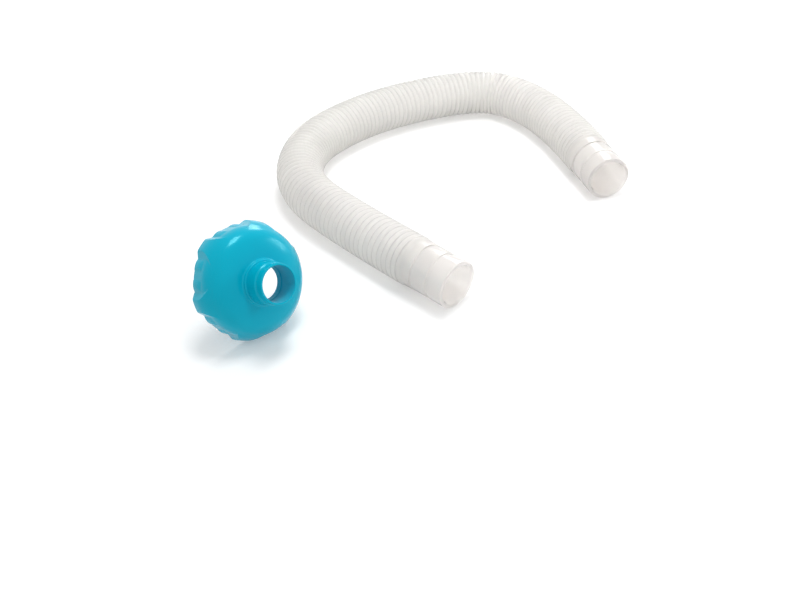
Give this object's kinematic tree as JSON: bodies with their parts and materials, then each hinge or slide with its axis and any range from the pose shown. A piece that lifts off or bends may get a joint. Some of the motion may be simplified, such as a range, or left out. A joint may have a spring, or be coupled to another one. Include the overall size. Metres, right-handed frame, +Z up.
{
  "type": "pool cleaner hose with threaded adapter cap",
  "caption": "Ribbed milky pool cleaner hose with smooth push-on cuffs, laid in a U bend, beside a loose blue threaded cap whose stepped neck takes a cuff.",
  "frame": {"origin": "middle of the footprint of the laid-out kit, on the floor", "axes": "+X to the right in the picture, +Y away from the viewer, +Z up from the floor"},
  "size_m": [0.4219, 0.4838, 0.0978],
  "materials": {
    "hose_plastic": "milky, lets some light through, satin gloss",
    "cuff_plastic": "milky white, smooth",
    "cap_plastic": "moulded, glossy",
    "washer_rubber": "matt"
  },
  "bodies": {
    "hose": {"hose_body": "hose_plastic", "near_cuff": "cuff_plastic", "far_cuff": "cuff_plastic"},
    "adapter": {"threaded_cap": "cap_plastic", "sealing_washer": "washer_rubber"}
  },
  "joints": [
    {"name": "adapter_lift", "type": "slide", "parent": "hose", "child": "adapter", "axis": [0, 0, 1], "range_m": [0, 0.15]}
  ]
}
